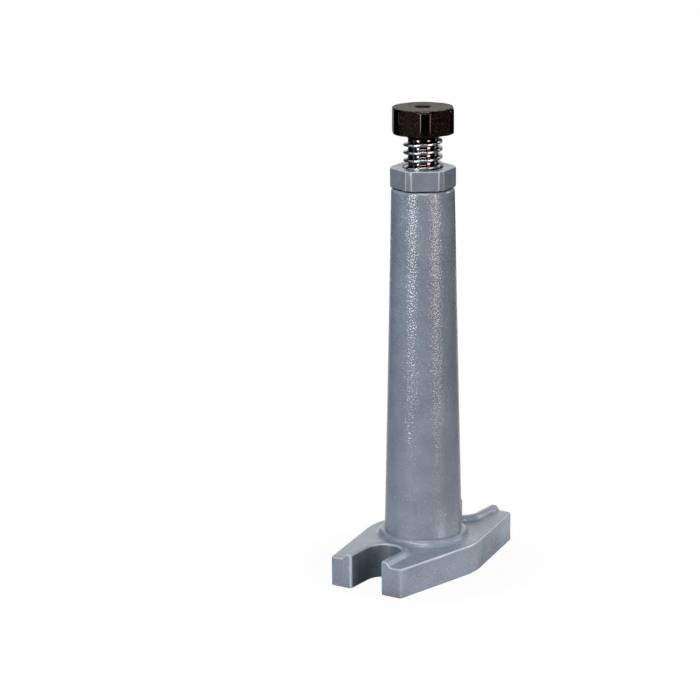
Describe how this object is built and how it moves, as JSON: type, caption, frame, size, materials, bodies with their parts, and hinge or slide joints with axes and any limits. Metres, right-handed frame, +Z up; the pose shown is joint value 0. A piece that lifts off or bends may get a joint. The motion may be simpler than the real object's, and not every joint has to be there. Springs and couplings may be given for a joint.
{
  "type": "machinist screw jack",
  "caption": "Tall screw jack for setting up workpieces: cast foot with clamping slots, tapered column, lock nut and a trapezoidal spindle with a hexagon head.",
  "frame": {"origin": "on the floor under the spindle's axis, which is the middle of the foot", "axes": "+Z up along the spindle, Y along the foot from slot to slot, X across the foot"},
  "size_m": [0.0942, 0.17, 0.364],
  "materials": {
    "painted_casting": "blue-grey lacquer on a sand casting",
    "painted_steel": "blue-grey lacquer, smooth",
    "bright_steel": "bright machined",
    "black_oxide_steel": "black oxide, top face ground dull",
    "turned_brass": "turned",
    "spring_steel": "dull"
  },
  "bodies": {
    "stand": {"column": "painted_casting"},
    "nut": {"lock_nut": "painted_steel"},
    "guide": {"guide_ring": "turned_brass"},
    "screw": {"spindle": "bright_steel", "spindle_head": "black_oxide_steel", "retaining_ring": "spring_steel"}
  },
  "joints": [
    {"name": "spindle_lift", "type": "slide", "parent": "stand", "child": "guide", "axis": [0, 0, 1], "range_m": [-0.02401, 0.18601]},
    {"name": "spindle_turn", "type": "hinge", "parent": "guide", "child": "screw", "pos_m": [0, 0, 0.3], "axis": [0, 0, 1], "range_deg": [-1440, 11160]},
    {"name": "lock_nut_turn", "type": "hinge", "parent": "stand", "child": "nut", "pos_m": [0, 0, 0.31], "axis": [0, 0, 1], "range_deg": [0, 20]}
  ],
  "couplings": [
    {"joint": "spindle_lift", "follows": "spindle_turn", "m_per_rad": 0.00095493}
  ]
}
